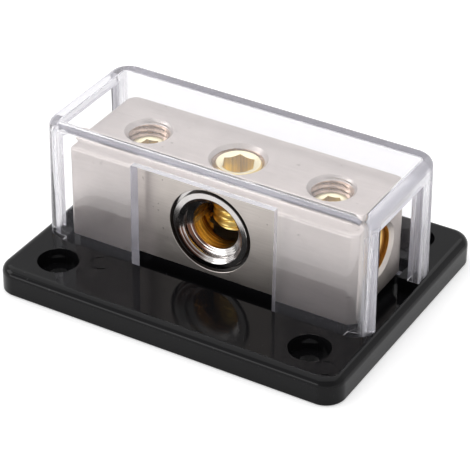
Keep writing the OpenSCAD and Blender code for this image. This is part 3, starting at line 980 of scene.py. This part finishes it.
class MESH_OT_terminal_block(bpy.types.Operator):
    """Builds the plated terminal block with its turned wire bores and tapped holes."""
    bl_idname = "mesh.terminal_block"
    bl_label = "Terminal block"

    def execute(self, context):
        scene = context.scene
        sizes, screws = scene.terminal_block_sizes, scene.terminal_screw_sizes
        low, high = BLOCK_LOW, BLOCK_HIGH
        foot, axis = 0.3 * MM, sizes.bore_height
        corners = (sizes.rear_radius,) * 2 + (sizes.front_radius,) * 2
        block = loft("plated_block", [
            rounded_ring(high.x - low.x, high.y - low.y, corners, z, inset)
            for z, inset in foot_and_top(low.z, high.z, foot, sizes.edge_radius, SMALL_ARC_STEPS)])
        front = (0, low.y, axis)
        mouths = [Mouth(FRONT, front, sizes.front_bore, sizes.front_step, sizes.front_lip,
                        sizes.front_depth)]
        mouths += [Mouth((side, 0, 0), (end, 0, axis), sizes.end_bore, sizes.end_step, sizes.end_lip,
                         sizes.end_depth) for side, end in ((-1, low.x), (1, high.x))]
        core = sizes.front_groove - sizes.groove_width
        carve(block, aim(groove_cutter(sizes.front_groove, core, sizes.groove_depth), FRONT, front))
        fixing_hole, fixing_depth = 1.5 * MM, 4 * MM
        for x in (-FIXING_X, FIXING_X):
            carve(block, turned("fixing_hole", [(fixing_hole, low.z - OVER),
                                                (fixing_hole, low.z + fixing_depth)], (x, 0)))
        for mouth in mouths:
            carve(block, aim(turned("bore", bore_profile(mouth, sizes)), mouth.direction, mouth.origin))
        below, above, under_bore = 0.05 * MM, 0.1 * MM, 0.3 * MM
        threads = screw_threads(screws)
        for thread, mouth in zip(threads, mouths):
            inner = thread.crest + screws.spare
            deep = inner + (thread.crest - thread.root)

            def chamfer(radius, z):
                return max(radius, thread.hole + sizes.mouth - (high.z - z))

            floor = axis - mouth.bore - under_bore
            if thread.side == "centre":
                floor = min(floor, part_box("centre_set_screw")[1].z - screws.centre_length - screws.travel)
            rings = thread_rings(inner, deep, thread.pitch, floor - below, high.z + above, chamfer,
                                 (thread.x, 0))
            carve(block, loft("tapped_hole", rings))
        self.sort_faces(block, mouths, threads, sizes, core)
        crease(block)
        dress(block, "body", "terminal_block", block_materials(scene.terminal_finishes), "terminal_block")
        return {"FINISHED"}

    @staticmethod
    def sort_faces(block, mouths, threads, sizes, core):
        """Marks each face as satin plate, turned mouth, bore, thread or groove."""
        hair, lip_low, rim = 0.02 * MM, 0.1 * MM, 0.2 * MM
        groove_reach, mouth_reach, thread_reach = 2 * MM, 4 * MM, 12 * MM
        top = BLOCK_HIGH.z
        for face in block.data.polygons:
            centre = face.center
            kind = SATIN
            for mouth in mouths:
                origin, direction = Vector(mouth.origin), Vector(mouth.direction)
                inward = (origin - centre).dot(direction)
                radius = ((origin - centre) - inward * direction).length
                if abs(inward) < hair:
                    radius = max((block.data.vertices[i].co - origin).length for i in face.vertices)
                if not -hair < inward < mouth.depth + mouth.bore * BORE_TIP + hair:
                    continue
                if mouth.direction != FRONT:
                    if inward > sizes.countersink - hair and radius < mouth.step + hair:
                        kind = BORE
                elif radius < mouth.bore + hair and inward > sizes.countersink + sizes.step_length:
                    kind = BORE
                elif lip_low < inward < groove_reach and core - hair < radius < sizes.front_groove + rim:
                    kind = GROOVE
                elif radius < core + hair and inward < mouth_reach:
                    kind = TURNED
            for thread in threads:
                reach = math.hypot(centre.x - thread.x, centre.y)
                if reach >= thread.hole + sizes.mouth + hair or centre.z >= top - hair:
                    continue
                if centre.z > top - sizes.mouth:
                    kind = SATIN
                elif centre.z > top - thread_reach and (kind in (SATIN, GROOVE, THREAD) or
                                                        kind == BORE and reach > thread.crest - hair):
                    kind = THREAD
            face.material_index = kind


class MESH_OT_terminal_screws(bpy.types.Operator):
    """Builds the three gold set screws with their threads and sockets."""
    bl_idname = "mesh.terminal_screws"
    bl_label = "Set screws"

    def execute(self, context):
        sizes = context.scene.terminal_screw_sizes
        materials = screw_materials(context.scene.terminal_finishes)
        chamfer, point, sink_edge = 0.45 * MM, 0.7 * MM, 0.3 * MM
        cup, cup_depth, cup_edge = 0.3 * MM, 0.5 * MM, 0.7 * MM
        drill_width, drill_depth, drill_flat = 0.42, 0.24, 0.2 * MM
        for side, _, crest, root, pitch, across, _, turn in screw_threads(sizes):
            node = side + "_set_screw"
            low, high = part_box(node)
            centre = ((low.x + high.x) / 2, (low.y + high.y) / 2)
            floor = high.z - (high.z - low.z) / 2
            if side == "centre":
                low.z = high.z - sizes.centre_length

            def limit(thread, z):
                return min(thread, crest - chamfer + (high.z - z), crest - point + (z - low.z))

            rings = [round_ring(cup, low.z + cup_depth, centre),
                     round_ring(crest - point - cup_edge, low.z, centre)]
            rings += thread_rings(crest, root, pitch, low.z, high.z, limit, centre)
            sink = across / 2 / math.cos(HEX_CORNER) + sink_edge
            body_rings = len(rings)
            rings += [round_ring(sink, high.z, centre, turn),
                      socket_mouth(across, sink, high.z, centre, turn),
                      hexagon_ring(across, floor, centre, turn),
                      round_ring(across * drill_width, floor, centre, turn),
                      round_ring(drill_flat, floor - across * drill_depth, centre, turn)]
            screw = loft(side + "_screw", rings)
            for index, face in enumerate(screw.data.polygons):
                ring = index // ROUND_STEPS
                face.material_index = (SOCKET if ring > body_rings else
                                       SCREW_FACE if ring >= body_rings - 1 else SCREW_SIDE)
            crease(screw)
            dress(screw, side + "_screw", "set_screw", materials, node)
        return {"FINISHED"}


class MESH_OT_terminal_cover(bpy.types.Operator):
    """Builds the clear cover with its cable windows."""
    bl_idname = "mesh.terminal_cover"
    bl_label = "Cover"

    def execute(self, context):
        sizes = context.scene.terminal_cover_sizes
        low, high = COVER_LOW, COVER_HIGH
        size_x, size_y = high.x - low.x, high.y - low.y
        lean = sizes.draft / (high.z - BASE_HIGH.z)

        def outer(z, inset=0.0):
            gap = inset + max(0.0, z - BASE_HIGH.z) * lean
            return rounded_ring(size_x - 2 * gap, size_y - 2 * gap, sizes.corner_radius - inset, z)

        rings = [outer(low.z), outer(BASE_HIGH.z), outer(high.z - sizes.edge_radius)]
        rings += [outer(high.z - drop, inset) for drop, inset in quarter_round(sizes.edge_radius, 1)]
        cover = loft("clear_cover", rings)
        deep, roof = low.z - OVER, high.z - sizes.roof

        inside_x, inside_y = size_x - 2 * sizes.end_wall, size_y - 2 * sizes.wall
        places = [(deep, 0.0), (roof - sizes.inner_edge, 0.0)]
        places += [(roof - drop, inset) for drop, inset in quarter_round(sizes.inner_edge, 1)]
        carve(cover, loft("inside", [rounded_ring(inside_x, inside_y, sizes.inner_radius, z, inset)
                                     for z, inset in places]))
        carve(cover, box_piece("front_window", (sizes.window_left, low.y - OVER, deep),
                               (sizes.window_right, 0, sizes.window_top)))
        carve(cover, box_piece("right_window", (0, sizes.right_front, deep),
                               (high.x + OVER, sizes.right_rear, sizes.window_top)))
        carve(cover, box_piece("left_window", (low.x - OVER, sizes.left_front, deep),
                               (0, sizes.left_rear, sizes.window_top)))
        for side in (-1, 1):
            near, far = sorted((side * SKIRT_END, side * (high.x + OVER)))
            carve(cover, box_piece("corner", (near, low.y - OVER, deep), (far, high.y + OVER, BASE_HIGH.z)))
        soften(cover, sizes.softness)
        dress(cover, "cover", "cover", clear_material(context.scene.terminal_finishes), "cover")
        return {"FINISHED"}


class MESH_OT_terminal_fixings(bpy.types.Operator):
    """Builds the two hidden fixing screws."""
    bl_idname = "mesh.terminal_fixings"
    bl_label = "Fixing screws"

    def execute(self, context):
        steel = brushed_metal("zinc_steel", context.scene.terminal_finishes.steel, STEEL_SPECK, STEEL_ROUGH,
                              strength=0.2, scale=1.3, specks=0.4)
        crest, root, pitch, end_taper = 1.48 * MM, 1.2 * MM, 0.5 * MM, 0.4 * MM
        across, socket, socket_point = 2.5 * MM, 1.1 * MM, 0.1 * MM
        head_height, head_round, head_edge = 1.9 * MM, 0.6 * MM, 0.1 * MM
        for side in ("left", "right"):
            node = side + "_fixing_screw"
            low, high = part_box(node)
            centre = ((low.x + high.x) / 2, (low.y + high.y) / 2)
            head, head_top = (high.x - low.x) / 2, low.z + head_height

            def limit(thread, z):
                return min(thread, crest - end_taper + (high.z - z))

            rings = [round_ring(socket_point, low.z + socket, centre),
                     hexagon_ring(across, low.z + socket, centre),
                     hexagon_ring(across, low.z, centre)]
            rings += [round_ring(head - inset, low.z + rise, centre)
                      for inset, rise in quarter_round(head_round, steps=SMALL_ARC_STEPS)]
            rings += [round_ring(head, head_top - head_edge, centre),
                      round_ring(head - head_edge, head_top, centre)]
            rings += thread_rings(crest, root, pitch, head_top, high.z, limit, centre)
            screw = loft(side + "_fixing", rings)
            crease(screw)
            dress(screw, "body", "fixing_screw", steel, node)
        return {"FINISHED"}


class VIEW3D_PT_terminal(bpy.types.Panel):
    """Lists the makers of the distribution block's pieces."""
    bl_label = "Distribution block"
    bl_space_type = "VIEW_3D"
    bl_region_type = "UI"
    bl_category = "Terminal"

    def draw(self, context):
        for operator in OPERATORS:
            self.layout.operator(operator.bl_idname)


GROUPS = {
    "terminal_base_sizes": BaseSizes,
    "terminal_block_sizes": BlockSizes,
    "terminal_screw_sizes": ScrewSizes,
    "terminal_cover_sizes": CoverSizes,
    "terminal_finishes": Finishes,
    "terminal_stage_sizes": StageSizes,
}
OPERATORS = (
    SCENE_OT_terminal_stage,
    MESH_OT_terminal_base,
    MESH_OT_terminal_block,
    MESH_OT_terminal_screws,
    MESH_OT_terminal_cover,
    MESH_OT_terminal_fixings,
)


def register():
    for group in GROUPS.values():
        bpy.utils.register_class(group)
    for operator in OPERATORS:
        bpy.utils.register_class(operator)
    bpy.utils.register_class(VIEW3D_PT_terminal)
    for name, group in GROUPS.items():
        setattr(bpy.types.Scene, name, PointerProperty(type=group))


def unregister():
    for name in GROUPS:
        delattr(bpy.types.Scene, name)
    bpy.utils.unregister_class(VIEW3D_PT_terminal)
    for operator in reversed(OPERATORS):
        bpy.utils.unregister_class(operator)
    for group in reversed(list(GROUPS.values())):
        bpy.utils.unregister_class(group)


def main():
    register()
    brushing_group()
    handling_group()
    turning_group()
    end_mask_group()
    bpy.ops.scene.terminal_stage()
    bpy.ops.mesh.terminal_base()
    bpy.ops.mesh.terminal_block()
    bpy.ops.mesh.terminal_screws()
    bpy.ops.mesh.terminal_cover()
    bpy.ops.mesh.terminal_fixings()


if __name__ == "__main__":
    main()
